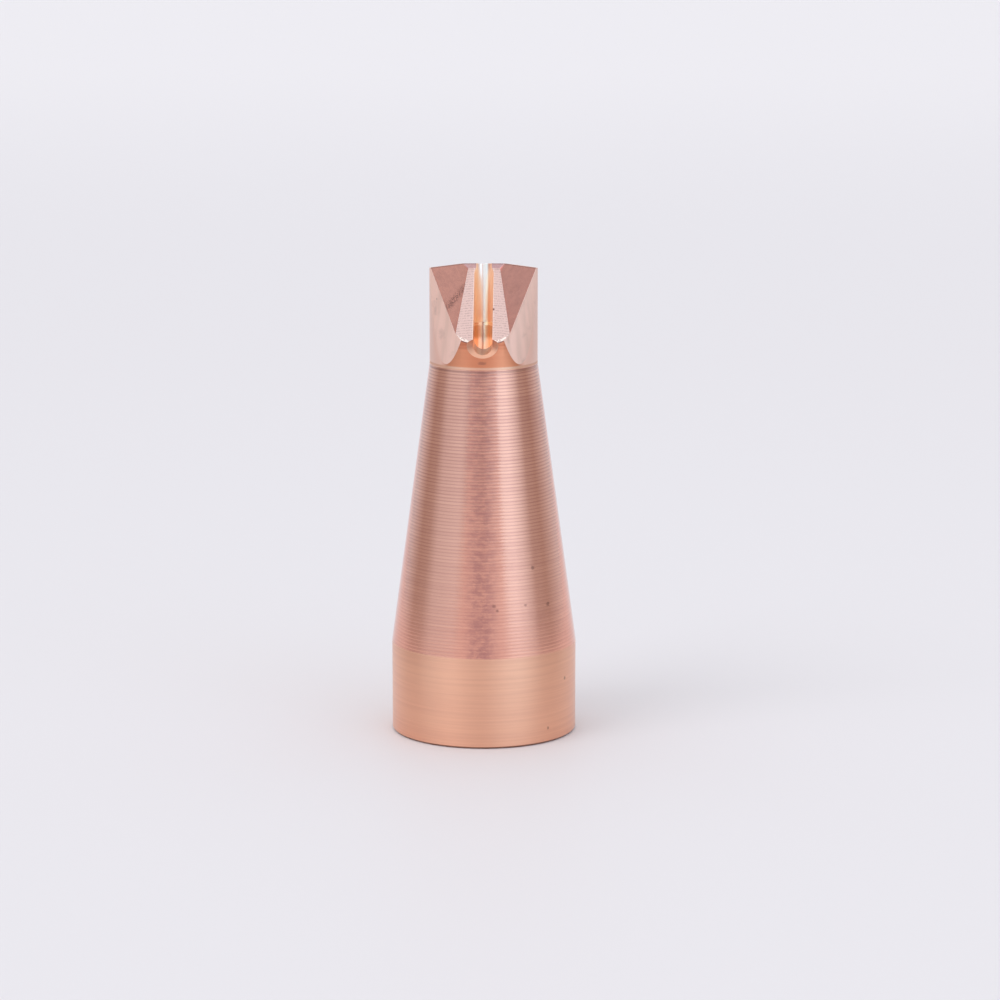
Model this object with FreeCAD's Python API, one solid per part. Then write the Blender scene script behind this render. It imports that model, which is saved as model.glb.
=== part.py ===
import FreeCAD, Part
import math
import os

# Copper nozzle for a hand-held laser welding gun with wire feed.
# One turned and milled piece. Millimetres, +Z up, origin at the centre of the base face.
# The nozzle stands on its threaded end. The slotted tip is on top and the wire enters from -Y.

Vector = FreeCAD.Vector

# Turned outside
base_diameter = 16.0
base_height = 7.9
base_edge_bevel = 0.2
cone_height = 24.4
tip_diameter = 9.3
tip_height = 8.3

# Female thread for the gun, fine pitch, drawn at its minor diameter
thread_minor_diameter = 10.2
thread_depth = 8.0
thread_mouth_bevel = 0.6
undercut_diameter = 11.3
undercut_width = 1.2

# Beam and gas passage above the thread
cavity_base_diameter = 9.6
cavity_end_diameter = 4.4
cavity_end_below_cone_top = 1.3
drill_point_angle = 118.0

# Notch that sits over the edge of the work. Its heights are measured down from the crest
floor_slope = 40.4
floor_drop_at_front = 6.06
wall_azimuth = 45.0
wall_slope = 55.2
wall_crest_distance = 2.66
lip_distance = 2.0
heel_slope = 10.0

# Tapered flats on both sides of the wire entry
flat_azimuth = 43.0
flat_taper = 7.4
flat_crest_distance = 3.62

# Slots and beam hole, all cut to one width. The depths are measured down from the crest
slot_width = 1.65
crest_slot_back = 2.35
crest_slot_depth = 5.2
wire_slot_depth = 7.02

# Oval flare around the wire entry
flare_width = 3.09
flare_height = 2.13

# Derived heights and radii
cone_top = base_height + cone_height
crest = cone_top + tip_height
base_radius = base_diameter / 2
tip_radius = tip_diameter / 2
slot_radius = slot_width / 2
wire_axis_height = crest - wire_slot_depth + slot_radius

# Longer than the nozzle in every direction, for the cutting bodies
cutter_reach = crest + base_diameter


def unit(azimuth, slope):
    """Unit vector at an azimuth from +X and a slope above the horizontal, in degrees."""
    turn = math.radians(azimuth)
    rise = math.radians(slope)
    return Vector(math.cos(rise) * math.cos(turn), math.cos(rise) * math.sin(turn), math.sin(rise))


def revolve(outline):
    """Solid of revolution about Z from (radius, height) points."""
    points = [Vector(radius, 0, height) for radius, height in outline]
    face = Part.Face(Part.makePolygon(points + points[:1]))
    return face.revolve(Vector(0, 0, 0), Vector(0, 0, 1), 360)


def beyond(point, direction):
    """Large block that fills everything beyond a plane, on the side the direction points to."""
    block = Part.makeBox(2 * cutter_reach, 2 * cutter_reach, cutter_reach)
    block.translate(Vector(-cutter_reach, -cutter_reach, 0))
    turn = FreeCAD.Rotation(Vector(0, 0, 1), direction)
    block.Placement = FreeCAD.Placement(point, turn).multiply(block.Placement)
    return block


def mirrored(shape):
    """Copy of a shape on the other side of the nozzle's plane of symmetry."""
    return shape.mirror(Vector(0, 0, 0), Vector(1, 0, 0))


def turned_body():
    """Base cylinder, long cone and tip cylinder in one outline."""
    return revolve([
        (0, 0),
        (base_radius - base_edge_bevel, 0),
        (base_radius, base_edge_bevel),
        (base_radius, base_height),
        (tip_radius, cone_top),
        (tip_radius, crest),
        (0, crest),
    ])


def passage():
    """Thread bore with mouth bevel and undercut, then the converging cavity with its drill point."""
    thread_radius = thread_minor_diameter / 2
    undercut_radius = undercut_diameter / 2
    undercut_top = thread_depth + undercut_width
    end_radius = cavity_end_diameter / 2
    end_height = cone_top - cavity_end_below_cone_top
    point_height = end_radius / math.tan(math.radians(drill_point_angle / 2))
    return revolve([
        (0, 0),
        (thread_radius + thread_mouth_bevel, 0),
        (thread_radius, thread_mouth_bevel),
        (thread_radius, thread_depth),
        (undercut_radius, thread_depth),
        (undercut_radius, undercut_top),
        (cavity_base_diameter / 2, undercut_top),
        (end_radius, end_height),
        (0, end_height + point_height),
    ])


def notch():
    """Space over the sloping floor, between the two leaning walls and in front of the lip."""
    floor_point = Vector(0, -tip_radius, crest - floor_drop_at_front)
    wall_foot = unit(wall_azimuth, 0) * wall_crest_distance + Vector(0, 0, crest)
    wall_normal = unit(wall_azimuth + 180, 90 - wall_slope)
    right_side = beyond(wall_foot, wall_normal)
    space = beyond(floor_point, unit(-90, 90 - floor_slope))
    space = space.common(right_side)
    space = space.common(mirrored(right_side))
    return space.common(beyond(Vector(0, lip_distance, crest), Vector(0, -1, 0)))


def heel_relief():
    """Three shallow planes that fall away behind the crest of the walls and of the lip."""
    wall_crest = unit(wall_azimuth, 0) * wall_crest_distance + Vector(0, 0, crest)
    right = beyond(wall_crest, unit(wall_azimuth, 90 - heel_slope))
    back = beyond(Vector(0, lip_distance, crest), unit(90, 90 - heel_slope))
    return [right, mirrored(right), back]


def front_flats():
    """Two flats that taper outwards and run out just above the cone."""
    azimuth = -90 + flat_azimuth
    start = unit(azimuth, 0) * flat_crest_distance + Vector(0, 0, crest)
    right = beyond(start, unit(azimuth, flat_taper))
    right = right.common(beyond(Vector(0, 0, cone_top), Vector(0, 0, 1)))
    return [right, mirrored(right)]


def slot(back, bottom):
    """Upright slot through the front of the tip, with a round back end and a flat bottom."""
    back_centre = back - slot_radius
    channel = Part.makeBox(slot_width, back_centre + tip_diameter, tip_diameter)
    channel.translate(Vector(-slot_radius, -tip_diameter, bottom))
    return channel.fuse(Part.makeCylinder(slot_radius, tip_diameter, Vector(0, back_centre, bottom)))


def crest_slot():
    """Upper slot, which reaches back through the lip."""
    return slot(crest_slot_back, crest - crest_slot_depth)


def wire_slot():
    """Lower slot with a round bottom, which leads the wire from the front into the beam."""
    start = Vector(0, -tip_diameter, wire_axis_height)
    bottom = Part.makeCylinder(slot_radius, tip_diameter, start, Vector(0, 1, 0))
    return slot(slot_radius, wire_axis_height).fuse(bottom)


def beam_hole():
    """Hole on the axis, from the cavity to the slots."""
    foot = cone_top - cavity_end_below_cone_top
    return Part.makeCylinder(slot_radius, crest - foot, Vector(0, 0, foot))


def wire_flare():
    """Oval right-angled flare around the wire entry."""
    apex = Vector(0, flare_width / 2 - tip_radius, 0)
    cone = Part.makeCone(0, tip_diameter, tip_diameter, apex, Vector(0, -1, 0))
    oval = FreeCAD.Matrix()
    oval.scale(1, 1, flare_height / flare_width)
    oval.move(0, 0, wire_axis_height)
    return cone.transformGeometry(oval)


def nozzle_body():
    """The finished nozzle as one solid."""
    body = turned_body().cut(heel_relief())
    body = body.cut(front_flats())
    body = body.cut(notch())
    body = body.cut([passage(), beam_hole(), crest_slot(), wire_slot()])
    body = body.cut(wire_flare())
    return body.removeSplitter().Solids[0]


os.makedirs("parts", exist_ok=True)
nozzle_body().exportStep("parts/nozzle_body.step")
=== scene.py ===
import math

import bmesh
import bpy
from mathutils import Matrix, Vector


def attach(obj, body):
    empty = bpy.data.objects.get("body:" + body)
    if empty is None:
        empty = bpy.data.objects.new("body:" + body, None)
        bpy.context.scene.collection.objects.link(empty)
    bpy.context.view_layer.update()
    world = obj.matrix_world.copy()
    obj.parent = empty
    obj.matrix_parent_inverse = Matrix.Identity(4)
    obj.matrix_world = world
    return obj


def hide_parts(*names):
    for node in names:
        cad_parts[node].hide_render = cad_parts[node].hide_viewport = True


# Copper nozzle of a hand-held wire-feed laser welding gun, on a white table in soft studio light.
# Metres, +Z up, origin at the centre of the base face. The wire enters the tip from -Y.

MM = 0.001

# Turned outside
BASE_RADIUS = 8.0 * MM
BASE_HEIGHT = 7.9 * MM
BASE_EDGE_BEVEL = 0.2 * MM
TIP_RADIUS = 4.65 * MM
CONE_TOP = 32.3 * MM
CREST = 40.6 * MM
TURNED_SEGMENTS = 256
BORED_SEGMENTS = 192

# Female thread and the passage above it
THREAD_MINOR_RADIUS = 5.1 * MM
THREAD_MAJOR_RADIUS = 5.5 * MM
THREAD_PITCH = 0.75 * MM
THREAD_DEPTH = 8.0 * MM
THREAD_MOUTH_BEVEL = 0.6 * MM
UNDERCUT_RADIUS = 5.65 * MM
UNDERCUT_WIDTH = 1.2 * MM
CAVITY_BASE_RADIUS = 4.8 * MM
CAVITY_END_RADIUS = 2.2 * MM
CAVITY_END_BELOW_CONE_TOP = 1.3 * MM
DRILL_POINT_ANGLE = 118.0

# Notch, heel and flats of the tip
FLOOR_SLOPE = 40.4
FLOOR_DROP_AT_FRONT = 6.06 * MM
WALL_AZIMUTH = 45.0
WALL_SLOPE = 55.2
WALL_CREST_DISTANCE = 2.66 * MM
LIP_DISTANCE = 2.0 * MM
HEEL_SLOPE = 10.0
FLAT_AZIMUTH = 43.0
FLAT_TAPER = 7.4
FLAT_CREST_DISTANCE = 3.62 * MM

# Slots, beam hole and the oval flare around the wire entry
SLOT_RADIUS = 0.825 * MM
CREST_SLOT_BACK = 2.35 * MM
CREST_SLOT_DEPTH = 5.2 * MM
WIRE_SLOT_DEPTH = 7.02 * MM
WIRE_AXIS_HEIGHT = CREST - WIRE_SLOT_DEPTH + SLOT_RADIUS
FLARE_WIDTH = 3.09 * MM
FLARE_HEIGHT = 2.13 * MM
SLOT_SEGMENTS = 64

EDGE_ROUNDING = 0.035 * MM
SHARP_ANGLE = math.radians(24)
CUTTER_REACH = 60 * MM

# Camera, matched to the photograph
CAMERA_AZIMUTH = 1.0
CAMERA_ELEVATION = 11.1
CAMERA_DISTANCE = 329.6 * MM
CAMERA_AIM_HEIGHT = 20.2 * MM
CAMERA_SIDE_STEP = 1.405 * MM
SENSOR_WIDTH = 36.0
FOCAL_LENGTH = 136.8

# Lathe and milling marks, and where a turned ridge has its crest as a share of the pitch
TURNING_PITCH = 0.29 * MM
TIP_TURNING_PITCH = 0.19 * MM
RIDGE_CREST = 0.35
MILLING_PITCH = 0.18 * MM

# Colours of the copper, of what dulls it, and of the light and shade painted onto it
COPPER = (0.89, 0.43, 0.315, 1.0)
COPPER_LINE = (0.60, 0.25, 0.20, 1.0)
COPPER_BASE = (0.89, 0.475, 0.32, 1.0)
COPPER_ORANGE = (0.75, 0.27, 0.15, 1.0)
COPPER_ORANGE_LINE_AND_SHADE = (0.58, 0.17, 0.09, 1.0)
COPPER_RING = (0.86, 0.48, 0.34, 1.0)
COPPER_FROSTED = (0.74, 0.545, 0.515, 1.0)
COPPER_FROSTED_LINE = (0.50, 0.35, 0.33, 1.0)
COPPER_FLAT = (1.0, 0.66, 0.56, 1.0)
COPPER_FLAT_STREAK = (0.80, 0.53, 0.44, 1.0)
COPPER_SIDE_REFLECTION = (0.98, 0.64, 0.54, 1.0)
COPPER_WALL = (0.66, 0.32, 0.26, 1.0)
COPPER_WALL_RIGHT_SHADE = (0.46, 0.22, 0.20, 1.0)
COPPER_WALL_STREAK = (0.50, 0.25, 0.21, 1.0)
COPPER_WALL_CLOUD = (0.34, 0.17, 0.16, 1.0)
COPPER_SLOT_FLOOR = (0.50, 0.27, 0.22, 1.0)
COPPER_DEEP = (0.88, 0.40, 0.24, 1.0)
COPPER_LIP = (0.80, 0.52, 0.52, 1.0)
BURR_HIGHLIGHT = (1.0, 0.90, 0.84, 1.0)
EDGE_SHADOW = (0.22, 0.11, 0.10, 1.0)
# Dark colour for real stains and dirt, and also for painted shade under the rim, at the foot and along the
# crest
STAIN_AND_SHADE = (0.20, 0.09, 0.08, 1.0)
# Painted reflection: dark colour for the band down the cone's front
DARK_FRONT_REFLECTION = (0.27, 0.10, 0.13, 1.0)
BLACK = (0.0, 0.0, 0.0, 1.0)
WHITE = (1.0, 1.0, 1.0, 1.0)

# Greasy smudge across the left wall of the notch: its height at the middle plane and its rise
SWIPE_HEIGHT = 40.3 * MM
SWIPE_RISE = 0.95

# Dark nick in the notch's floor, at the right edge of the slot
NICK_CENTRE = (0.87 * MM, -1.6 * MM, 37.13 * MM)
NICK_RADIUS = 0.12 * MM

# Weak glow that stands in for light that bounces between the slot's walls: its strength, and the
# share of it deep in the beam hole and in the open slot
SLOT_GLOW = 0.36
DEEP_SHARE = 0.7
OPEN_SHARE = 0.14
GLOSSY_BOUNCES = 12

# Stains on the turned outside: azimuth from -Y in degrees, height and radius
CONE_STAINS = (
    (38, 15.4 * MM, 0.16 * MM),
    (49, 12.1 * MM, 0.20 * MM),
    (8, 12.4 * MM, 0.16 * MM),
    (10, 12.0 * MM, 0.12 * MM),
    (30, 12.3 * MM, 0.12 * MM),
)
BASE_STAINS = (
    (62, 5.3 * MM, 0.14 * MM),
    (45, 1.3 * MM, 0.12 * MM),
)

# Painted reflections and highlights, as streaks across the slot's back, from the left wall (0) to the right
# wall (1)
CREST_SLOT_PAINTED_REFLECTIONS = (
    (0.00, (1.00, 0.80, 0.62)),
    (0.06, (1.00, 0.76, 0.52)),
    (0.16, (1.00, 0.78, 0.58)),
    (0.22, (1.00, 0.88, 0.80)),
    (0.38, (1.00, 0.82, 0.74)),
    (0.42, (0.80, 0.58, 0.50)),
    (0.47, (1.00, 0.96, 0.91)),
    (0.66, (1.00, 0.96, 0.91)),
    (0.71, (0.90, 0.64, 0.52)),
    (0.78, (0.97, 0.60, 0.46)),
    (1.00, (1.00, 0.70, 0.52)),
)
BEAM_HOLE_PAINTED_REFLECTIONS = (
    (0.00, (0.82, 0.44, 0.25)),
    (0.16, (0.86, 0.48, 0.28)),
    (0.25, (1.00, 0.94, 0.86)),
    (0.36, (1.00, 0.94, 0.86)),
    (0.42, (0.60, 0.34, 0.26)),
    (0.46, (0.64, 0.36, 0.28)),
    (0.51, (1.00, 0.90, 0.76)),
    (0.68, (1.00, 0.94, 0.76)),
    (0.78, (1.00, 0.70, 0.44)),
    (1.00, (0.98, 0.62, 0.40)),
)

# White sheet under the nozzle: half width at each distance from front to back
TABLE_OUTLINE = (
    (-900 * MM, 400 * MM),
    (-80 * MM, 60 * MM),
    (50 * MM, 60 * MM),
    (3000 * MM, 700 * MM),
)
TABLE_NEAR = (0.755, 0.708, 0.728, 1.0)
TABLE_MIDDLE = (0.735, 0.684, 0.702, 1.0)
TABLE_FAR = (0.785, 0.73, 0.745, 1.0)
BACKDROP = (0.83, 0.82, 0.87, 1.0)

# Strength of the cool studio panels around the horizon, by azimuth from -Y in degrees
PANEL_COLOUR = (0.66, 1.06, 1.36, 1.0)
PANEL_STRENGTHS = (
    (-180, 0.40),
    (-130, 0.32),
    (-105, 0.00),
    (-88, 0.06),
    (-72, 0.36),
    (-40, 0.50),
    (-22, 0.34),
    (0, 0.14),
    (18, 0.62),
    (32, 1.00),
    (46, 1.00),
    (60, 0.66),
    (78, 0.10),
    (98, 0.00),
    (128, 0.30),
    (180, 0.40),
)

# Light from above: the surroundings at low and at steep angles, and one lamp at the front left
SURROUNDINGS_LOW = 0.46
SURROUNDINGS_HIGH = 1.12
LAMP_AZIMUTH = -50.0
LAMP_ELEVATION = 45.0
LAMP_STRENGTH = 2.4


def unit(azimuth, slope):
    """Unit vector at an azimuth from +X and a slope above the horizontal, in degrees."""
    turn = math.radians(azimuth)
    rise = math.radians(slope)
    return Vector((math.cos(rise) * math.cos(turn), math.cos(rise) * math.sin(turn), math.sin(rise)))


class Graph:
    """A node tree with short calls to add nodes and link their sockets."""

    def __init__(self, tree):
        self.tree = tree
        self.column = 0

    def add(self, kind, **settings):
        node = self.tree.nodes.new(kind)
        node.location = (self.column * 180, -(self.column % 5) * 200)
        self.column += 1
        for key, value in settings.items():
            setattr(node, key, value)
        return node

    def feed(self, socket, value):
        """Links a socket to another, or sets its plain value."""
        if isinstance(value, bpy.types.NodeSocket):
            self.tree.links.new(value, socket)
        else:
            socket.default_value = value

    def math(self, operation, first, second=None, third=None):
        node = self.add("ShaderNodeMath", operation=operation)
        for socket, value in zip(node.inputs, (first, second, third)):
            if value is not None:
                self.feed(socket, value)
        return node.outputs[0]

    def vector_math(self, operation, first, second=None):
        node = self.add("ShaderNodeVectorMath", operation=operation)
        for socket, value in zip(node.inputs, (first, second)):
            if value is not None:
                self.feed(socket, value)
        return node

    def axes(self, vector):
        node = self.add("ShaderNodeSeparateXYZ")
        self.feed(node.inputs[0], vector)
        return node.outputs

    def radius(self, point):
        """Distance of a point from the Z axis."""
        flat = self.vector_math("MULTIPLY", point, (1.0, 1.0, 0.0)).outputs[0]
        return self.vector_math("LENGTH", flat).outputs["Value"]

    def mix(self, factor, first, second, blend="MIX"):
        node = self.add("ShaderNodeMix", data_type="RGBA", blend_type=blend)
        self.feed(node.inputs[0], factor)
        self.feed(node.inputs[6], first)
        self.feed(node.inputs[7], second)
        return node.outputs[2]

    def span(self, value, low, high, to_low=0.0, to_high=1.0, smooth=True):
        """Maps a value from one range to another, clamped at both ends."""
        node = self.add("ShaderNodeMapRange", clamp=True)
        node.interpolation_type = "SMOOTHSTEP" if smooth else "LINEAR"
        self.feed(node.inputs[0], value)
        for socket, number in zip(node.inputs[1:5], (low, high, to_low, to_high)):
            self.feed(socket, number)
        return node.outputs[0]

    def line(self, value, centre, half_width, soft):
        """Mask of a narrow line where a value is close to its centre."""
        away = self.math("ABSOLUTE", self.math("SUBTRACT", value, centre))
        return self.span(away, half_width, half_width + soft, 1.0, 0.0)

    def noise(self, vector, scale, detail=2.0, roughness=0.5):
        node = self.add("ShaderNodeTexNoise")
        self.feed(node.inputs["Vector"], vector)
        self.feed(node.inputs["Scale"], scale)
        self.feed(node.inputs["Detail"], detail)
        self.feed(node.inputs["Roughness"], roughness)
        return node.outputs["Fac"]

    def ramp(self, value, stops):
        """Colour ramp through (place, colour) stops."""
        node = self.add("ShaderNodeValToRGB")
        self.feed(node.inputs[0], value)
        elements = node.color_ramp.elements
        while len(elements) < len(stops):
            elements.new(0.5)
        for element, (place, colour) in zip(elements, stops):
            element.position = place
        for element, (place, colour) in zip(elements, stops):
            element.color = (*colour, 1.0)
        return node.outputs[0]

    def place(self, group, **values):
        """Places a shader node group and feeds its named inputs."""
        node = self.add("ShaderNodeGroup", node_tree=group)
        for name, value in values.items():
            self.feed(node.inputs[name], value)
        return node.outputs


def new_group(name, inputs, outputs):
    """Shader node group with named inputs (name, kind, default) and outputs (name, kind)."""
    tree = bpy.data.node_groups.new(name, "ShaderNodeTree")
    kinds = {"value": "NodeSocketFloat", "vector": "NodeSocketVector"}
    for label, kind, default in inputs:
        socket = tree.interface.new_socket(label, in_out="INPUT", socket_type=kinds[kind])
        if default is not None:
            socket.default_value = default
    for label, kind in outputs:
        tree.interface.new_socket(label, in_out="OUTPUT", socket_type=kinds[kind])
    graph = Graph(tree)
    source = graph.add("NodeGroupInput")
    sink = graph.add("NodeGroupOutput")
    return graph, source.outputs, sink.inputs


def turning_marks_group():
    """Fine helical ridges that the lathe tool leaves around the Z axis."""
    graph, given, wanted = new_group(
        "turning_marks",
        [("Point", "vector", None), ("Pitch", "value", TURNING_PITCH)],
        [("Ridge", "value"), ("Tone", "value")],
    )
    x, y, z = graph.axes(given["Point"])
    turn = graph.math("ARCTAN2", x, graph.math("MULTIPLY", y, -1.0))
    turn = graph.math("DIVIDE", turn, 2 * math.pi)
    turns = graph.math("SUBTRACT", graph.math("DIVIDE", z, given["Pitch"]), turn)
    phase = graph.math("FRACT", turns)
    rise = graph.math("DIVIDE", phase, RIDGE_CREST)
    fall = graph.math("DIVIDE", graph.math("SUBTRACT", 1.0, phase), 1.0 - RIDGE_CREST)
    wave = graph.math("MINIMUM", rise, fall)
    around = graph.vector_math("MULTIPLY", given["Point"], (120.0, 120.0, 3000.0)).outputs[0]
    strength = graph.span(graph.noise(around, 1.0, 1.0), 0.35, 0.65, 0.7, 1.0)
    graph.feed(wanted["Ridge"], graph.math("MULTIPLY", wave, strength))
    lines = graph.vector_math("MULTIPLY", given["Point"], (90.0, 90.0, 5200.0)).outputs[0]
    graph.feed(wanted["Tone"], graph.span(graph.noise(lines, 1.0, 2.0, 0.6), 0.3, 0.7))
    return graph.tree


def tarnish_group():
    """Large soft patches where handling and air have dulled the copper."""
    graph, given, wanted = new_group(
        "tarnish",
        [("Point", "vector", None), ("Size", "value", 0.006), ("Cover", "value", 0.5)],
        [("Mask", "value")],
    )
    scaled = graph.add("ShaderNodeVectorMath", operation="SCALE")
    graph.feed(scaled.inputs[0], given["Point"])
    graph.feed(scaled.inputs["Scale"], graph.math("DIVIDE", 1.0, given["Size"]))
    patch = graph.noise(scaled.outputs[0], 1.0, 4.0, 0.6)
    low = graph.math("SUBTRACT", 0.75, graph.math("MULTIPLY", given["Cover"], 0.5))
    graph.feed(wanted["Mask"], graph.span(patch, low, graph.math("ADD", low, 0.22)))
    return graph.tree


def specks_group():
    """Scattered small dark specks and pits."""
    graph, given, wanted = new_group(
        "specks",
        [
            ("Point", "vector", None),
            ("Spacing", "value", 0.002),
            ("Share", "value", 0.2),
            ("Size", "value", 0.1),
        ],
        [("Mask", "value")],
    )
    bent = graph.add("ShaderNodeTexNoise")
    graph.feed(bent.inputs["Vector"], given["Point"])
    bent.inputs["Scale"].default_value = 2500.0
    offset = graph.vector_math("MULTIPLY", bent.outputs["Color"], (0.0003, 0.0003, 0.0003)).outputs[0]
    cells = graph.add("ShaderNodeTexVoronoi", feature="F1")
    graph.feed(cells.inputs["Vector"], graph.vector_math("ADD", given["Point"], offset).outputs[0])
    graph.feed(cells.inputs["Scale"], graph.math("DIVIDE", 1.0, given["Spacing"]))
    pick = graph.add("ShaderNodeSeparateColor")
    graph.feed(pick.inputs[0], cells.outputs["Color"])
    chosen = graph.math("LESS_THAN", pick.outputs[0], given["Share"])
    reach = graph.math("MULTIPLY", given["Size"], graph.math("ADD", pick.outputs[1], 0.35))
    near = graph.math("SUBTRACT", 1.0, graph.math("DIVIDE", cells.outputs["Distance"], reach))
    graph.feed(wanted["Mask"], graph.math("MULTIPLY", graph.span(near, 0.0, 0.6), chosen))
    return graph.tree


def streaks_group():
    """Fine streaks along one direction, as a cutter or a cloth leaves them."""
    graph, given, wanted = new_group(
        "streaks",
        [("Point", "vector", None), ("Stretch", "vector", (9000.0, 9000.0, 700.0))],
        [("Fine", "value"), ("Soft", "value")],
    )
    scaled = graph.vector_math("MULTIPLY", given["Point"], given["Stretch"]).outputs[0]
    graph.feed(wanted["Fine"], graph.noise(scaled, 1.0, 3.0, 0.6))
    softer = graph.vector_math("MULTIPLY", scaled, (0.25, 0.25, 0.25)).outputs[0]
    graph.feed(wanted["Soft"], graph.noise(softer, 1.0, 2.0, 0.5))
    return graph.tree


def stain_group():
    """One ragged stain around a centre."""
    graph, given, wanted = new_group(
        "stain",
        [("Point", "vector", None), ("Centre", "vector", None), ("Radius", "value", 0.0002)],
        [("Mask", "value")],
    )
    away = graph.vector_math("DISTANCE", given["Point"], given["Centre"]).outputs["Value"]
    ragged = graph.math("MULTIPLY_ADD", graph.noise(given["Point"], 6000.0, 3.0), 1.6, 0.2)
    share = graph.math("DIVIDE", graph.math("MULTIPLY", away, ragged), given["Radius"])
    graph.feed(wanted["Mask"], graph.span(share, 0.6, 1.3, 1.0, 0.0))
    return graph.tree


def copper_start(name, roughness, anisotropy=0.0):
    """New metal material: its graph, its shader node and the point on the surface."""
    material = bpy.data.materials.new(name)
    material.use_nodes = True
    tree = material.node_tree
    tree.nodes.clear()
    graph = Graph(tree)
    shader = graph.add("ShaderNodeBsdfPrincipled")
    output = graph.add("ShaderNodeOutputMaterial")
    graph.feed(output.inputs["Surface"], shader.outputs["BSDF"])
    shader.inputs["Metallic"].default_value = 1.0
    shader.inputs["Roughness"].default_value = roughness
    shader.inputs["Anisotropic"].default_value = anisotropy
    shader.inputs["Anisotropic Rotation"].default_value = 0.25
    coordinates = graph.add("ShaderNodeTexCoord")
    return material, graph, shader, coordinates.outputs["Object"]


def bump(graph, height, distance):
    """Normal of a surface with fine relief."""
    node = graph.add("ShaderNodeBump")
    graph.feed(node.inputs["Height"], height)
    node.inputs["Distance"].default_value = distance
    node.inputs["Strength"].default_value = 1.0
    return node.outputs["Normal"]


def outside_radius(height):
    """Radius of the turned outside at a height."""
    if height < BASE_HEIGHT:
        return BASE_RADIUS
    share = min(1.0, (height - BASE_HEIGHT) / (CONE_TOP - BASE_HEIGHT))
    return BASE_RADIUS + (TIP_RADIUS - BASE_RADIUS) * share


def stained(graph, groups, point, tone, stains):
    """Lays ragged stains at given places on the turned outside over a colour."""
    for azimuth, height, radius in stains:
        centre = unit(-90 + azimuth, 0) * outside_radius(height) + Vector((0, 0, height))
        mask = graph.place(groups["stain"], Point=point, Centre=centre, Radius=radius)["Mask"]
        tone = graph.mix(graph.math("MULTIPLY", mask, 0.5), tone, STAIN_AND_SHADE)
    return tone


def cone_material(groups):
    """Cone with clear turning marks, a painted dark reflection down its front, painted shade under the rim,
    a few stains.
    """
    material, graph, shader, point = copper_start("turned_cone", 0.16, 0.7)
    x, y, z = graph.axes(point)
    marks = graph.place(groups["turning_marks"], Point=point)
    dull = graph.place(groups["tarnish"], Point=point, Size=0.005, Cover=0.45)["Mask"]
    dirt = graph.place(groups["specks"], Point=point, Spacing=0.0020, Share=0.10, Size=0.07)["Mask"]
    depth = graph.span(z, 9 * MM, 30 * MM, 0.45, 1.0)
    valley = graph.math("MULTIPLY", graph.span(marks["Ridge"], 0.0, 0.5, 0.75, 0.0), depth)
    tone = graph.mix(graph.math("MULTIPLY", marks["Tone"], 0.25), COPPER, COPPER_LINE)
    tone = graph.mix(valley, tone, COPPER_LINE)
    tone = graph.mix(graph.math("MULTIPLY", dull, 0.30), tone, COPPER_LINE)
    flattened = graph.vector_math("MULTIPLY", point, (1.0, 1.0, 1.6)).outputs[0]
    blotches = graph.span(graph.noise(flattened, 1300.0, 4.0, 0.7), 0.38, 0.62, 0.4, 1.6)
    # Painted reflection: a mottled dark band down the front of the cone stands in for the dark room that it
    # reflects there.
    band = graph.line(x, -0.1 * MM, 0.4 * MM, 1.5 * MM)
    band = graph.math("MULTIPLY", band, graph.span(z, 10 * MM, 28 * MM, 0.28, 0.22))
    band = graph.math("MULTIPLY", band, blotches)
    band = graph.math("MULTIPLY", band, graph.span(y, 0.0, -2 * MM))
    tone = graph.mix(band, tone, DARK_FRONT_REFLECTION)
    # Painted shade: a dark line on the cone just under the rim of the tip.
    rim_shade = graph.line(z, CONE_TOP - 0.17 * MM, 0.06 * MM, 0.08 * MM)
    tone = graph.mix(graph.math("MULTIPLY", rim_shade, 0.28), tone, STAIN_AND_SHADE)
    tone = stained(graph, groups, point, tone, CONE_STAINS)
    graph.feed(shader.inputs["Base Color"], graph.mix(graph.math("MULTIPLY", dirt, 0.6), tone, STAIN_AND_SHADE))
    height = graph.math("MULTIPLY", marks["Ridge"], depth)
    graph.feed(shader.inputs["Normal"], bump(graph, height, 0.005 * MM))
    return material


def base_material(groups):
    """Base cylinder with finer marks."""
    material, graph, shader, point = copper_start("turned_base", 0.34, 0.8)
    x, y, z = graph.axes(point)
    marks = graph.place(groups["turning_marks"], Point=point)
    dirt = graph.place(groups["specks"], Point=point, Spacing=0.0022, Share=0.10, Size=0.07)["Mask"]
    tone = graph.mix(graph.math("MULTIPLY", marks["Tone"], 0.2), COPPER_BASE, COPPER_LINE)
    # Painted shade along the foot of the base, where it stands on the table.
    edge = graph.span(z, 0.08 * MM, 0.20 * MM, 1.0, 0.0)
    tone = graph.mix(graph.math("MULTIPLY", edge, 0.6), tone, STAIN_AND_SHADE)
    tone = stained(graph, groups, point, tone, BASE_STAINS)
    graph.feed(shader.inputs["Base Color"], graph.mix(graph.math("MULTIPLY", dirt, 0.5), tone, STAIN_AND_SHADE))
    graph.feed(shader.inputs["Normal"], bump(graph, marks["Ridge"], 0.003 * MM))
    return material


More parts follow.
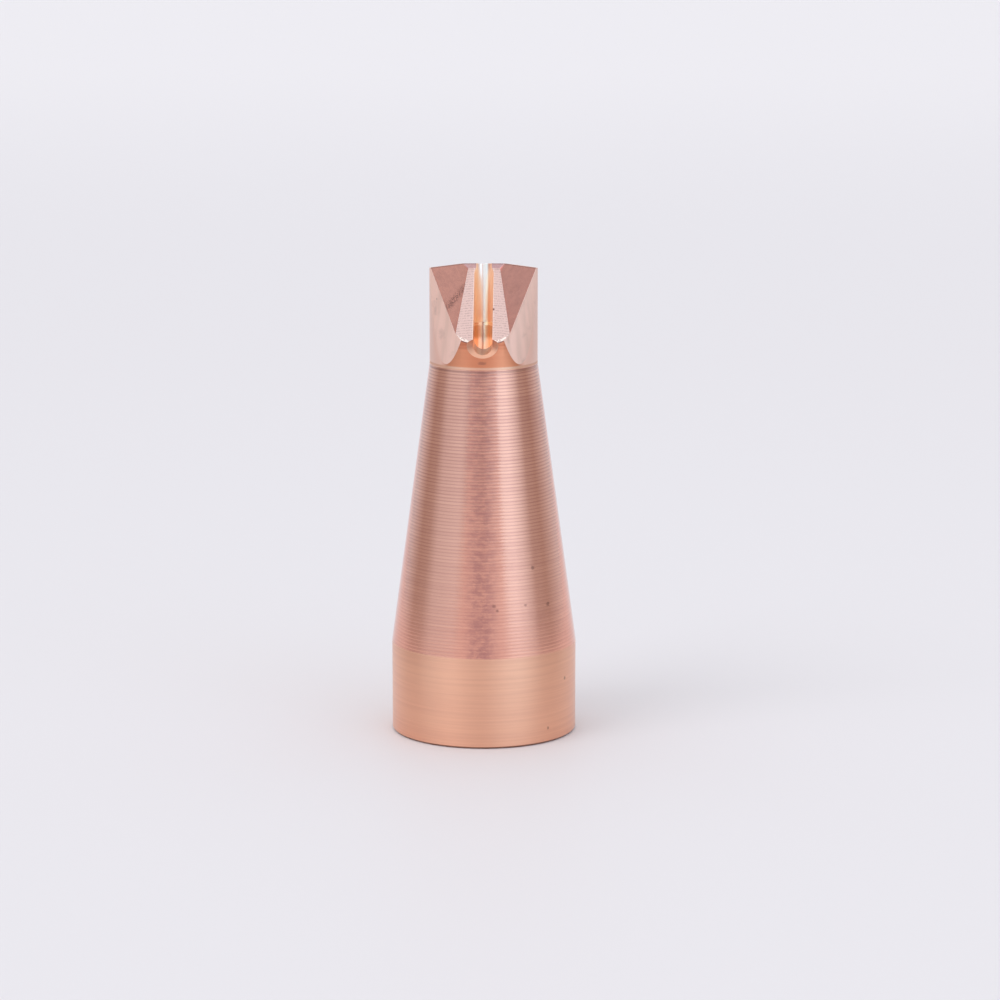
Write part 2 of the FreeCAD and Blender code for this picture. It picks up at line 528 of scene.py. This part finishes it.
def bell_material(groups):
    """Tip cylinder: warm in front and pale at its sides, both painted reflections, with a painted highlight
    as a pale line at the rim of the cone.
    """
    material, graph, shader, point = copper_start("turned_tip", 0.38, 0.6)
    x, y, z = graph.axes(point)
    marks = graph.place(groups["turning_marks"], Point=point, Pitch=TIP_TURNING_PITCH)
    upper = graph.span(z, 33.8 * MM, 34.5 * MM, 0.1, 1.0)
    tone = graph.mix(graph.math("MULTIPLY", marks["Tone"], upper), COPPER_ORANGE, COPPER_ORANGE_LINE_AND_SHADE)
    # Painted shade: the bell darkens towards its top, under the edge of the notch's floor.
    tone = graph.mix(graph.span(z, 33.9 * MM, 34.6 * MM, 0.0, 0.45), tone, COPPER_ORANGE_LINE_AND_SHADE)
    # Painted reflection: the sides are a paler copy of the warm front, as the bright table shows in them.
    sides = graph.span(graph.math("DIVIDE", y, -TIP_RADIUS), 0.62, 0.80, 1.0, 0.0)
    tone = graph.mix(sides, tone, COPPER_SIDE_REFLECTION)
    graph.feed(shader.inputs["Roughness"], graph.span(sides, 0.0, 1.0, 0.38, 0.62))
    # Painted highlight: a pale line where a small fillet at the rim would catch the light from above.
    rim = graph.line(z, CONE_TOP + 0.13 * MM, 0.06 * MM, 0.09 * MM)
    tone = graph.mix(graph.math("MULTIPLY", rim, 0.9), tone, COPPER_RING)
    widened = graph.vector_math("MULTIPLY", point, (0.4, 1.0, 1.0)).outputs[0]
    centre = (0.0, -TIP_RADIUS, 32.9 * MM)
    smudge = graph.place(groups["stain"], Point=widened, Centre=centre, Radius=0.14 * MM)["Mask"]
    tone = graph.mix(graph.math("MULTIPLY", smudge, 0.4), tone, STAIN_AND_SHADE)
    slope = math.tan(math.radians(FLOOR_SLOPE))
    floor = graph.math("MULTIPLY_ADD", graph.math("ADD", y, TIP_RADIUS), slope, CREST - FLOOR_DROP_AT_FRONT)
    below = graph.math("SUBTRACT", floor, z)
    below = graph.math("MULTIPLY_ADD", graph.noise(point, 5000.0, 2.0), -0.10 * MM, below)
    under_edge = graph.span(below, 0.02 * MM, 0.08 * MM, 1.0, 0.0)
    under_edge = graph.math("MULTIPLY", under_edge, graph.math("SUBTRACT", 1.0, sides))
    tone = graph.mix(graph.math("MULTIPLY", under_edge, 0.7), tone, EDGE_SHADOW)
    graph.feed(shader.inputs["Base Color"], tone)
    height = graph.math("MULTIPLY", marks["Ridge"], upper)
    graph.feed(shader.inputs["Normal"], bump(graph, height, 0.006 * MM))
    return material


def land_material(groups):
    """Sloping floor of the notch: frosted by fine milling lines, with burrs along its edges that carry a
    painted highlight.
    """
    material, graph, shader, point = copper_start("frosted_land", 0.50)
    x, y, z = graph.axes(point)
    waver = graph.math("MULTIPLY", graph.noise(point, 900.0, 2.0), 0.8)
    bow = graph.math("MULTIPLY", graph.math("MULTIPLY", x, x), 25.0)
    lines = graph.math("DIVIDE", graph.math("ADD", z, bow), MILLING_PITCH)
    wave = graph.math("SINE", graph.math("MULTIPLY", graph.math("ADD", lines, waver), 2 * math.pi))
    grain = graph.noise(point, 9000.0, 3.0, 0.65)
    dark = graph.math("MULTIPLY", graph.span(wave, -1.0, 1.0), graph.span(grain, 0.4, 0.65))
    tone = graph.mix(dark, COPPER_FROSTED, COPPER_FROSTED_LINE)
    ragged = graph.math("MULTIPLY", graph.span(graph.noise(point, 6500.0, 2.0), 0.38, 0.62), 0.26 * MM)
    from_front = graph.math("SUBTRACT", TIP_RADIUS, graph.math("ADD", graph.radius(point), ragged))
    front = graph.span(from_front, -0.02 * MM, 0.0, 1.0, 0.0)
    rim = graph.line(graph.math("ABSOLUTE", x), SLOT_RADIUS, 0.04 * MM, 0.05 * MM)
    edge = graph.math("MAXIMUM", graph.math("MULTIPLY", front, 0.9), graph.math("MULTIPLY", rim, 0.3))
    # Painted highlight: near-white burrs along the front edge and along the slot's rims.
    tone = graph.mix(edge, tone, BURR_HIGHLIGHT)
    nick = graph.place(groups["stain"], Point=point, Centre=NICK_CENTRE, Radius=NICK_RADIUS)["Mask"]
    graph.feed(shader.inputs["Base Color"], graph.mix(nick, tone, STAIN_AND_SHADE))
    relief = graph.math("MULTIPLY_ADD", wave, 0.3, graph.math("MULTIPLY", grain, 0.8))
    graph.feed(shader.inputs["Normal"], bump(graph, relief, 0.008 * MM))
    return material


def wall_material(groups):
    """Side walls of the notch and the lip: smoother, smudged, with painted shade on the right wall and
    along the crest.
    """
    material, graph, shader, point = copper_start("notch_wall", 0.26)
    x, y, z = graph.axes(point)
    streaks = graph.place(groups["streaks"], Point=point, Stretch=(2500.0, 2500.0, 1500.0))
    dirt = graph.place(groups["specks"], Point=point, Spacing=0.0011, Share=0.14, Size=0.08)["Mask"]
    smear = graph.place(groups["tarnish"], Point=point, Size=0.0012, Cover=0.5)["Mask"]
    # Painted shade: the right wall is a darker copy of the same copper.
    right = graph.span(x, -0.5 * MM, 0.5 * MM)
    tone = graph.mix(graph.math("MULTIPLY", right, 0.35), COPPER_WALL, COPPER_WALL_RIGHT_SHADE)
    tone = graph.mix(graph.math("MULTIPLY", streaks["Soft"], 0.4), tone, COPPER_WALL_STREAK)
    clouds = graph.span(graph.noise(point, 1900.0, 5.0, 0.75), 0.35, 0.65, 0.0, 0.28)
    tone = graph.mix(clouds, tone, COPPER_WALL_CLOUD)
    left = graph.span(x, -1.3 * MM, -1.8 * MM)
    along = graph.math("SUBTRACT", z, graph.math("MULTIPLY", x, SWIPE_RISE))
    swipe = graph.math("MULTIPLY", graph.line(along, SWIPE_HEIGHT, 0.10 * MM, 0.55 * MM), left)
    mottle = graph.span(graph.noise(point, 8500.0, 3.0, 0.65), 0.42, 0.58)
    tone = graph.mix(graph.math("MULTIPLY", graph.math("MULTIPLY", swipe, mottle), 0.8), tone, STAIN_AND_SHADE)
    tone = graph.mix(graph.math("MULTIPLY", smear, 0.12), tone, STAIN_AND_SHADE)
    tone = graph.mix(graph.math("MULTIPLY", dirt, 0.5), tone, STAIN_AND_SHADE)
    tone = graph.mix(graph.math("MULTIPLY", graph.span(y, 1.85 * MM, 1.97 * MM), 0.7), tone, COPPER_LIP)
    # Painted shade along the top edge of the walls.
    crest = graph.span(z, CREST - 0.11 * MM, CREST - 0.05 * MM)
    tone = graph.mix(graph.math("MULTIPLY", crest, 0.45), tone, STAIN_AND_SHADE)
    graph.feed(shader.inputs["Base Color"], tone)
    graph.feed(shader.inputs["Normal"], bump(graph, streaks["Fine"], 0.002 * MM))
    return material


def flat_material(groups):
    """Milled flats and heel: pale, with faint upright smudges and small dents."""
    material, graph, shader, point = copper_start("milled_flat", 0.60)
    streaks = graph.place(groups["streaks"], Point=point, Stretch=(6000.0, 6000.0, 450.0))
    dirt = graph.place(groups["specks"], Point=point, Spacing=0.0013, Share=0.18, Size=0.09)["Mask"]
    smear = graph.place(groups["tarnish"], Point=point, Size=0.0016, Cover=0.4)["Mask"]
    smudges = graph.span(streaks["Soft"], 0.35, 0.75, 0.2, 0.7)
    tone = graph.mix(smudges, COPPER_FLAT, COPPER_FLAT_STREAK)
    tone = graph.mix(graph.math("MULTIPLY", smear, 0.18), tone, STAIN_AND_SHADE)
    tone = graph.mix(graph.math("MULTIPLY", dirt, 0.45), tone, STAIN_AND_SHADE)
    graph.feed(shader.inputs["Base Color"], tone)
    relief = graph.math("SUBTRACT", graph.math("MULTIPLY", streaks["Fine"], 0.3), dirt)
    graph.feed(shader.inputs["Normal"], bump(graph, relief, 0.008 * MM))
    return material


def slot_material(groups):
    """Slots and beam hole: painted reflections as upright streaks that change where the crest slot ends,
    and a weak glow that stands in for bounced light.
    """
    material, graph, shader, point = copper_start("slot_wall", 0.30)
    x, y, z = graph.axes(point)
    waver = graph.math("MULTIPLY", graph.math("SUBTRACT", graph.noise(point, 700.0, 2.0), 0.5), 0.05)
    across = graph.math("ADD", graph.span(x, -SLOT_RADIUS, SLOT_RADIUS, smooth=False), waver)
    # Painted reflections: streaks of colour and white highlights across the slot and the beam hole.
    upper = graph.ramp(across, CREST_SLOT_PAINTED_REFLECTIONS)
    lower = graph.ramp(across, BEAM_HOLE_PAINTED_REFLECTIONS)
    ledge = CREST - CREST_SLOT_DEPTH
    tone = graph.mix(graph.span(z, ledge + 0.02 * MM, ledge + 0.06 * MM), lower, upper)
    floor = graph.span(z, WIRE_AXIS_HEIGHT - 0.45 * MM, WIRE_AXIS_HEIGHT - 0.25 * MM, 1.0, 0.0)
    shaft = graph.span(graph.radius(point), 0.84 * MM, 0.88 * MM, 1.0, 0.0)
    floor = graph.math("MULTIPLY", floor, graph.math("SUBTRACT", 1.0, shaft))
    tone = graph.mix(graph.math("MULTIPLY", floor, 0.8), tone, COPPER_SLOT_FLOOR)
    dirt = graph.place(groups["specks"], Point=point, Spacing=0.0006, Share=0.25, Size=0.10)["Mask"]
    tone = graph.mix(graph.math("MULTIPLY", dirt, 0.35), tone, STAIN_AND_SHADE)
    graph.feed(shader.inputs["Base Color"], tone)
    deep = graph.math("MULTIPLY", graph.span(z, 34.0 * MM, 34.6 * MM, DEEP_SHARE, 0.0), shaft)
    open_low = WIRE_AXIS_HEIGHT - 0.2 * MM
    open_high = WIRE_AXIS_HEIGHT + 0.4 * MM
    open_part = graph.span(z, open_low, open_high, 0.0, OPEN_SHARE)
    glow = graph.math("MAXIMUM", deep, open_part)
    graph.feed(shader.inputs["Emission Color"], graph.mix(glow, BLACK, tone))
    shader.inputs["Emission Strength"].default_value = SLOT_GLOW
    return material


def plain_copper(name, groups, colour, stretch, depth, roughness):
    """Copper with fine streaks and a few specks, for the flare and the passage."""
    material, graph, shader, point = copper_start(name, roughness)
    streaks = graph.place(groups["streaks"], Point=point, Stretch=stretch)
    dirt = graph.place(groups["specks"], Point=point, Spacing=0.0012, Share=0.12, Size=0.08)["Mask"]
    darker = tuple(0.8 * part for part in colour[:3]) + (1.0,)
    tone = graph.mix(streaks["Soft"], colour, darker)
    graph.feed(shader.inputs["Base Color"], graph.mix(graph.math("MULTIPLY", dirt, 0.4), tone, STAIN_AND_SHADE))
    graph.feed(shader.inputs["Normal"], bump(graph, streaks["Fine"], depth))
    return material


def copper_materials():
    """One finish for each kind of surface on the nozzle."""
    even = (4000.0, 4000.0, 4000.0)
    around = (900.0, 900.0, 9000.0)
    groups = {
        "turning_marks": turning_marks_group(),
        "tarnish": tarnish_group(),
        "specks": specks_group(),
        "streaks": streaks_group(),
        "stain": stain_group(),
    }
    return {
        "cone": cone_material(groups),
        "base": base_material(groups),
        "bell": bell_material(groups),
        "land": land_material(groups),
        "wall": wall_material(groups),
        "flat": flat_material(groups),
        "slot": slot_material(groups),
        "ring": plain_copper("flared_ring", groups, COPPER_RING, even, 0.002 * MM, 0.40),
        "bore": plain_copper("bored_passage", groups, COPPER_DEEP, around, 0.003 * MM, 0.30),
    }


def as_object(name, bm, material):
    """Turns a bmesh into an object with one material."""
    bmesh.ops.recalc_face_normals(bm, faces=bm.faces)
    mesh = bpy.data.meshes.new(name)
    bm.to_mesh(mesh)
    bm.free()
    mesh.materials.append(material)
    piece = bpy.data.objects.new(name, mesh)
    bpy.context.scene.collection.objects.link(piece)
    return piece


def revolved(name, outline, material, segments=TURNED_SEGMENTS):
    """Closed solid of revolution from (radius, height) points that start and end on the axis."""
    bm = bmesh.new()
    rings = []
    for radius, height in outline:
        count = segments if radius > 0 else 1
        ring = []
        for step in range(count):
            turn = 2 * math.pi * step / count
            ring.append(bm.verts.new((radius * math.cos(turn), radius * math.sin(turn), height)))
        rings.append(ring)
    for lower, upper in zip(rings, rings[1:]):
        for step in range(segments):
            after = (step + 1) % segments
            if len(lower) == 1:
                bm.faces.new((lower[0], upper[after], upper[step]))
            elif len(upper) == 1:
                bm.faces.new((lower[step], lower[after], upper[0]))
            else:
                bm.faces.new((lower[step], lower[after], upper[after], upper[step]))
    return as_object(name, bm, material)


def block_beyond(name, point, direction, material):
    """Large block that fills everything beyond a plane."""
    bm = bmesh.new()
    bmesh.ops.create_cube(bm, size=1.0)
    for vertex in bm.verts:
        vertex.co.x *= 2 * CUTTER_REACH
        vertex.co.y *= 2 * CUTTER_REACH
        vertex.co.z = (vertex.co.z + 0.5) * CUTTER_REACH
    turn = Vector((0, 0, 1)).rotation_difference(direction).to_matrix().to_4x4()
    bmesh.ops.transform(bm, matrix=Matrix.Translation(point) @ turn, verts=bm.verts)
    return as_object(name, bm, material)


def combine(base, other, operation):
    """Boolean of two objects, kept in the first. The second is removed."""
    modifier = base.modifiers.new("combine", "BOOLEAN")
    modifier.operation = operation
    modifier.object = other
    modifier.solver = "EXACT"
    modifier.material_mode = "TRANSFER"
    bpy.context.view_layer.update()
    graph = bpy.context.evaluated_depsgraph_get()
    mesh = bpy.data.meshes.new_from_object(base.evaluated_get(graph))
    base.modifiers.clear()
    base.data = mesh
    bpy.data.objects.remove(other)
    return base


def slot_prism(name, end, length, placement, material):
    """Prism in its own frame whose section runs from far -Y to a round end, extruded along Z."""
    bm = bmesh.new()
    centre = end - SLOT_RADIUS
    outline = [(-SLOT_RADIUS, -2 * TIP_RADIUS), (SLOT_RADIUS, -2 * TIP_RADIUS)]
    for step in range(SLOT_SEGMENTS + 1):
        turn = math.pi * step / SLOT_SEGMENTS
        outline.append((SLOT_RADIUS * math.cos(turn), centre + SLOT_RADIUS * math.sin(turn)))
    bm.faces.new([bm.verts.new((x, y, 0)) for x, y in outline])
    risen = bmesh.ops.extrude_face_region(bm, geom=list(bm.faces))
    moved = [item for item in risen["geom"] if isinstance(item, bmesh.types.BMVert)]
    bmesh.ops.translate(bm, verts=moved, vec=(0, 0, length))
    bmesh.ops.transform(bm, matrix=placement, verts=bm.verts)
    return as_object(name, bm, material)


def thread_tap(material):
    """Male form of the thread, a helical V ridge around a core, used as a cutter."""
    rows_per_turn = 12
    segments = 144
    core = THREAD_MINOR_RADIUS - 0.02 * MM
    crest_share = 0.125
    rows = int((THREAD_DEPTH + 2 * THREAD_PITCH) / THREAD_PITCH * rows_per_turn)
    bottom = -1.5 * THREAD_PITCH
    bm = bmesh.new()
    grid = []
    for row in range(rows + 1):
        share = (row / rows_per_turn) % 1.0
        rise = 1 - abs(share - 0.5) * 2
        ridge = min(1.0, max(0.0, (rise - crest_share) / (1 - 2 * crest_share)))
        radius = core + (THREAD_MAJOR_RADIUS - core) * ridge
        ring = []
        for step in range(segments):
            turn = 2 * math.pi * step / segments
            height = bottom + (row / rows_per_turn + step / segments) * THREAD_PITCH
            ring.append(bm.verts.new((radius * math.cos(turn), radius * math.sin(turn), height)))
        grid.append(ring)

    def corner(row, step):
        return grid[row + (rows_per_turn if step == segments else 0)][step % segments]

    top_row = rows - rows_per_turn
    for row in range(top_row):
        for step in range(segments):
            lower = (corner(row, step), corner(row, step + 1))
            upper = (corner(row + 1, step + 1), corner(row + 1, step))
            bm.faces.new(lower + upper)
    under = bottom - 2 * MM
    over = bottom + rows / rows_per_turn * THREAD_PITCH + MM
    for row, hub_height in ((0, under), (top_row, over)):
        hub = bm.verts.new((0, 0, hub_height))
        rim = [corner(row, step) for step in range(segments + 1)]
        seam = [grid[row + lift][0] for lift in range(rows_per_turn + 1)]
        for first, second in list(zip(rim, rim[1:])) + list(zip(seam, seam[1:])):
            bm.faces.new((first, second, hub))
    loose = [vertex for vertex in bm.verts if not vertex.link_faces]
    bmesh.ops.delete(bm, geom=loose, context="VERTS")
    return as_object("thread_tap", bm, material)


def turned_blank(materials):
    """Outside of the nozzle before milling. Base, cone and tip have their own finish."""
    blank = revolved("nozzle_finish", [
        (0, 0),
        (BASE_RADIUS - BASE_EDGE_BEVEL, 0),
        (BASE_RADIUS, BASE_EDGE_BEVEL),
        (BASE_RADIUS, BASE_HEIGHT),
        (TIP_RADIUS, CONE_TOP),
        (TIP_RADIUS, CREST),
        (0, CREST),
    ], materials["base"])
    blank.data.materials.append(materials["cone"])
    blank.data.materials.append(materials["bell"])
    for face in blank.data.polygons:
        if face.center.z > BASE_HEIGHT:
            face.material_index = 1 if face.center.z < CONE_TOP else 2
    return blank


def passage(material):
    """Thread bore, undercut and converging cavity with its drill point as one cutter."""
    undercut_top = THREAD_DEPTH + UNDERCUT_WIDTH
    cavity_end = CONE_TOP - CAVITY_END_BELOW_CONE_TOP
    point = CAVITY_END_RADIUS / math.tan(math.radians(DRILL_POINT_ANGLE / 2))
    below = -1.0 * MM
    return revolved("passage", [
        (0, below),
        (THREAD_MINOR_RADIUS + THREAD_MOUTH_BEVEL - below, below),
        (THREAD_MINOR_RADIUS, THREAD_MOUTH_BEVEL),
        (THREAD_MINOR_RADIUS, THREAD_DEPTH),
        (UNDERCUT_RADIUS, THREAD_DEPTH),
        (UNDERCUT_RADIUS, undercut_top),
        (CAVITY_BASE_RADIUS, undercut_top),
        (CAVITY_END_RADIUS, cavity_end),
        (0, cavity_end + point),
    ], material, BORED_SEGMENTS)


def notch(materials):
    """Space over the sloping floor, between the two leaning walls and in front of the lip."""
    floor_point = Vector((0, -TIP_RADIUS, CREST - FLOOR_DROP_AT_FRONT))
    space = block_beyond("notch", floor_point, unit(-90, 90 - FLOOR_SLOPE), materials["land"])
    crest = Vector((0, 0, CREST))
    for side in (1, -1):
        foot = unit(WALL_AZIMUTH, 0) * WALL_CREST_DISTANCE + crest
        normal = unit(WALL_AZIMUTH + 180, 90 - WALL_SLOPE)
        foot.x *= side
        normal.x *= side
        combine(space, block_beyond("notch_side", foot, normal, materials["wall"]), "INTERSECT")
    lip_foot = Vector((0, LIP_DISTANCE, CREST))
    lip = block_beyond("notch_lip", lip_foot, Vector((0, -1, 0)), materials["wall"])
    return combine(space, lip, "INTERSECT")


def heel_blocks(material):
    """Three shallow planes that fall away behind the crest of the walls and of the lip."""
    places = (
        (WALL_AZIMUTH, WALL_CREST_DISTANCE),
        (180 - WALL_AZIMUTH, WALL_CREST_DISTANCE),
        (90, LIP_DISTANCE),
    )
    blocks = []
    for azimuth, distance in places:
        point = unit(azimuth, 0) * distance + Vector((0, 0, CREST))
        blocks.append(block_beyond("heel", point, unit(azimuth, 90 - HEEL_SLOPE), material))
    return blocks


def flat_blocks(material):
    """Two flats that taper outwards and run out just above the cone."""
    blocks = []
    for side in (1, -1):
        azimuth = -90 + side * FLAT_AZIMUTH
        point = unit(azimuth, 0) * FLAT_CREST_DISTANCE + Vector((0, 0, CREST))
        block = block_beyond("flat", point, unit(azimuth, FLAT_TAPER), material)
        above = block_beyond("flat_limit", Vector((0, 0, CONE_TOP)), Vector((0, 0, 1)), material)
        blocks.append(combine(block, above, "INTERSECT"))
    return blocks


def crest_slot(material):
    """Upper slot, which reaches back through the lip."""
    placement = Matrix.Translation((0, 0, CREST - CREST_SLOT_DEPTH))
    return slot_prism("crest_slot", CREST_SLOT_BACK, 2 * TIP_RADIUS, placement, material)


def wire_slot(material):
    """Lower slot with a round bottom, from the front to the axis."""
    across = Vector((1, 0, 0))
    down = Vector((0, 0, -1))
    forward = Vector((0, 1, 0))
    turn = Matrix((across, down, forward)).transposed().to_4x4()
    start = Matrix.Translation((0, -2 * TIP_RADIUS, WIRE_AXIS_HEIGHT)) @ turn
    return slot_prism("wire_slot", SLOT_RADIUS, 2 * TIP_RADIUS, start, material)


def beam_hole(material):
    """Hole on the axis, from the cavity to the slots."""
    foot = CONE_TOP - CAVITY_END_BELOW_CONE_TOP
    top = CREST + 1.0 * MM
    outline = [(0, foot), (SLOT_RADIUS, foot), (SLOT_RADIUS, top), (0, top)]
    return revolved("beam_hole", outline, material, 2 * SLOT_SEGMENTS)


def wire_flare(material):
    """Oval right-angled flare around the wire entry."""
    reach = 2 * TIP_RADIUS
    cone = revolved("wire_flare", [(0, 0), (reach, reach), (0, reach)], material, BORED_SEGMENTS)
    turn = Vector((0, 0, 1)).rotation_difference(Vector((0, -1, 0))).to_matrix().to_4x4()
    oval = Matrix.Diagonal((1, 1, FLARE_HEIGHT / FLARE_WIDTH, 1))
    apex = Matrix.Translation((0, FLARE_WIDTH / 2 - TIP_RADIUS, WIRE_AXIS_HEIGHT))
    cone.data.transform(apex @ oval @ turn)
    return cone


def round_edges(piece):
    """Rounds the outer edges very slightly and sets smooth shading between sharp edges."""
    bm = bmesh.new()
    bm.from_mesh(piece.data)
    bmesh.ops.remove_doubles(bm, verts=bm.verts, dist=0.002 * MM)
    weights = bm.edges.layers.float.new("bevel_weight_edge")
    for edge in bm.edges:
        middle = (edge.verts[0].co + edge.verts[1].co) / 2
        inside = math.hypot(middle.x, middle.y) < THREAD_MAJOR_RADIUS + 0.3 * MM and middle.z < CONE_TOP
        inside = inside or abs(middle.z - CREST + CREST_SLOT_DEPTH) < 0.01 * MM
        if not inside and len(edge.link_faces) == 2 and edge.calc_face_angle(0) > SHARP_ANGLE:
            edge[weights] = 1.0
    bm.to_mesh(piece.data)
    bm.free()
    for face in piece.data.polygons:
        face.use_smooth = True
    piece.data.set_sharp_from_angle(angle=SHARP_ANGLE)
    bevel = piece.modifiers.new("edge_rounding", "BEVEL")
    bevel.width = EDGE_ROUNDING
    bevel.segments = 2
    bevel.limit_method = "WEIGHT"
    bevel.harden_normals = True
    bevel.use_clamp_overlap = True
    return piece


def nozzle(materials):
    """The whole nozzle as one mesh that stands for the CAD solid."""
    body = turned_blank(materials)
    cutters = heel_blocks(materials["flat"]) + flat_blocks(materials["flat"])
    cutters += [
        notch(materials),
        passage(materials["bore"]),
        thread_tap(materials["bore"]),
        beam_hole(materials["slot"]),
        wire_slot(materials["slot"]),
        crest_slot(materials["slot"]),
        wire_flare(materials["ring"]),
    ]
    for cutter in cutters:
        combine(body, cutter, "DIFFERENCE")
    return round_edges(body)


def add_table():
    """White sheet that the nozzle stands on, narrow at its sides and wide in front and behind."""
    bm = bmesh.new()
    rows = []
    for y, half_width in TABLE_OUTLINE:
        rows.append((bm.verts.new((-half_width, y, 0)), bm.verts.new((half_width, y, 0))))
    for near, far in zip(rows, rows[1:]):
        bm.faces.new((near[0], near[1], far[1], far[0]))
    material = bpy.data.materials.new("table_white")
    material.use_nodes = True
    graph = Graph(material.node_tree)
    shader = material.node_tree.nodes["Principled BSDF"]
    x, y, z = graph.axes(graph.add("ShaderNodeTexCoord").outputs["Object"])
    far = graph.mix(graph.span(y, 0.30, 0.75), TABLE_MIDDLE, TABLE_FAR)
    near = graph.mix(graph.span(y, -0.05, 0.25), TABLE_NEAR, far)
    graph.feed(shader.inputs["Base Color"], near)
    shader.inputs["Roughness"].default_value = 0.6
    shader.inputs["Specular IOR Level"].default_value = 0.2
    table = as_object("table", bm, material)
    return table


def set_world():
    """Soft surroundings with brighter and darker panels that the copper reflects."""
    world = bpy.data.worlds.new("studio")
    bpy.context.scene.world = world
    world.use_nodes = True
    tree = world.node_tree
    tree.nodes.clear()
    graph = Graph(tree)
    output = graph.add("ShaderNodeOutputWorld")
    x, y, z = graph.axes(graph.add("ShaderNodeTexCoord").outputs["Generated"])
    azimuth = graph.math("DEGREES", graph.math("ARCTAN2", x, graph.math("MULTIPLY", y, -1.0)))
    elevation = graph.math("DEGREES", graph.math("ARCSINE", z))
    turned = graph.span(azimuth, -180.0, 180.0, smooth=False)
    stops = [((place + 180) / 360, (strength,) * 3) for place, strength in PANEL_STRENGTHS]
    low = graph.span(elevation, 20.0, 50.0, 1.0, 0.0)
    panels = graph.math("MULTIPLY", graph.ramp(turned, stops), low)
    lamp_width = graph.line(azimuth, LAMP_AZIMUTH, 16.0, 10.0)
    lamp_height = graph.line(elevation, LAMP_ELEVATION, 8.0, 10.0)
    lamp = graph.math("MULTIPLY", lamp_width, lamp_height)
    surroundings = graph.span(elevation, 8.0, 60.0, SURROUNDINGS_LOW, SURROUNDINGS_HIGH)
    level = graph.math("MULTIPLY_ADD", lamp, LAMP_STRENGTH, surroundings)
    lit = graph.add("ShaderNodeBackground")
    tint = graph.mix(panels, BLACK, PANEL_COLOUR)
    plain = graph.mix(1.0, WHITE, level, "MULTIPLY")
    graph.feed(lit.inputs["Color"], graph.mix(1.0, plain, tint, "ADD"))
    seen = graph.add("ShaderNodeBackground")
    graph.feed(seen.inputs["Color"], BACKDROP)
    path = graph.add("ShaderNodeLightPath")
    choice = graph.add("ShaderNodeMixShader")
    graph.feed(choice.inputs[0], path.outputs["Is Camera Ray"])
    graph.feed(choice.inputs[1], lit.outputs[0])
    graph.feed(choice.inputs[2], seen.outputs[0])
    graph.feed(output.inputs["Surface"], choice.outputs[0])


def add_camera():
    """Camera where the photograph was taken from."""
    turn = math.radians(CAMERA_AZIMUTH)
    rise = math.radians(CAMERA_ELEVATION)
    back = Vector((math.sin(turn) * math.cos(rise), -math.cos(turn) * math.cos(rise), math.sin(rise)))
    right = Vector((math.cos(turn), math.sin(turn), 0))
    data = bpy.data.cameras.new("camera")
    data.sensor_width = SENSOR_WIDTH
    data.lens = FOCAL_LENGTH
    data.clip_start = 10 * MM
    data.clip_end = 20.0
    camera = bpy.data.objects.new("camera", data)
    camera.location = Vector((0, 0, CAMERA_AIM_HEIGHT)) + back * CAMERA_DISTANCE + right * CAMERA_SIDE_STEP
    camera.rotation_euler = (-back).to_track_quat("-Z", "Y").to_euler()
    bpy.context.scene.collection.objects.link(camera)
    bpy.context.scene.camera = camera


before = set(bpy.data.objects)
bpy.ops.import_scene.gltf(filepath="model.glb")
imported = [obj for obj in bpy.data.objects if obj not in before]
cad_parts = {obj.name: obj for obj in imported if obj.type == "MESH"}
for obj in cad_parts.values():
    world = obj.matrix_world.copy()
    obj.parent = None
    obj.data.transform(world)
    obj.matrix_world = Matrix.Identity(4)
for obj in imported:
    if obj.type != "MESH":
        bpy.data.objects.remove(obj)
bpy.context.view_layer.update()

bpy.context.scene.view_settings.view_transform = "Standard"
bpy.context.scene.cycles.glossy_bounces = GLOSSY_BOUNCES
add_camera()
set_world()
add_table()

body = nozzle(copper_materials())
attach(body, "root")
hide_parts("nozzle_body")
